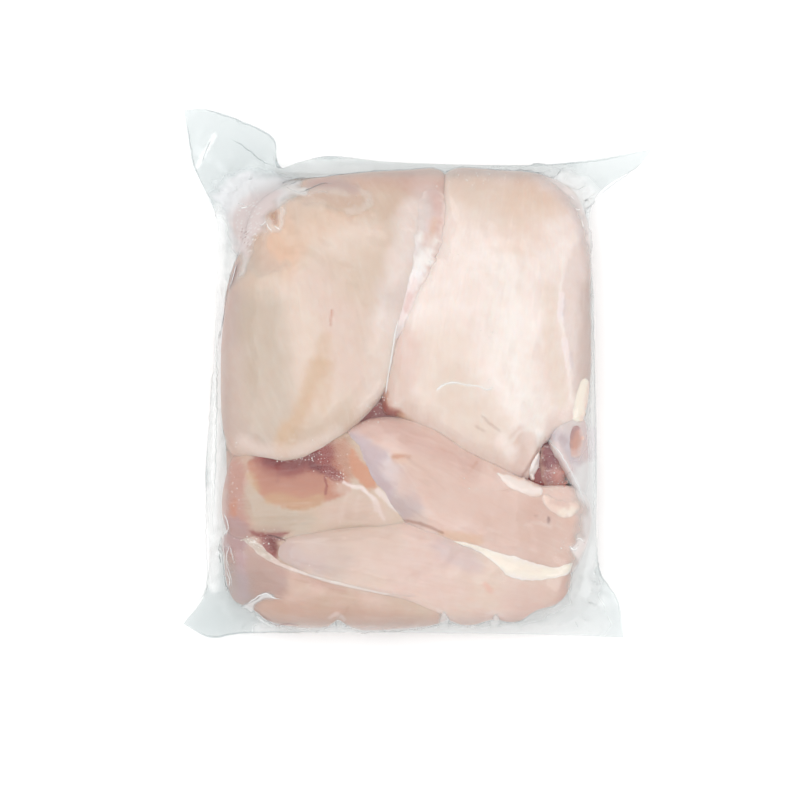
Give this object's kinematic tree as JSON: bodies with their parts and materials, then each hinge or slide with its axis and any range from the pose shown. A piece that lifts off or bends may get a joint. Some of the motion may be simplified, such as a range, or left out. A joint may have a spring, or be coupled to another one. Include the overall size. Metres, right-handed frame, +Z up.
{
  "type": "vacuum-packed raw chicken breast fillets",
  "caption": "Clear vacuum bag drawn tight over two layers of raw chicken breast fillets, lying flat, with sealed film ears at its corners.",
  "frame": {"origin": "middle of the pack's length and width, at the height of the flat underside", "axes": "+Z up out of the shown side, +Y towards the bag's mouth, +X to the right seen from above"},
  "size_m": [0.2912, 0.3222, 0.047],
  "materials": {
    "film": "clear, glossy, drawn tight, creased at the corners",
    "meat": "moist raw poultry, translucent pale pink",
    "fat": "moist cream-white fat and tendon"
  },
  "bodies": {
    "root": {"bag_of_chicken_breasts": "film"}
  },
  "joints": []
}
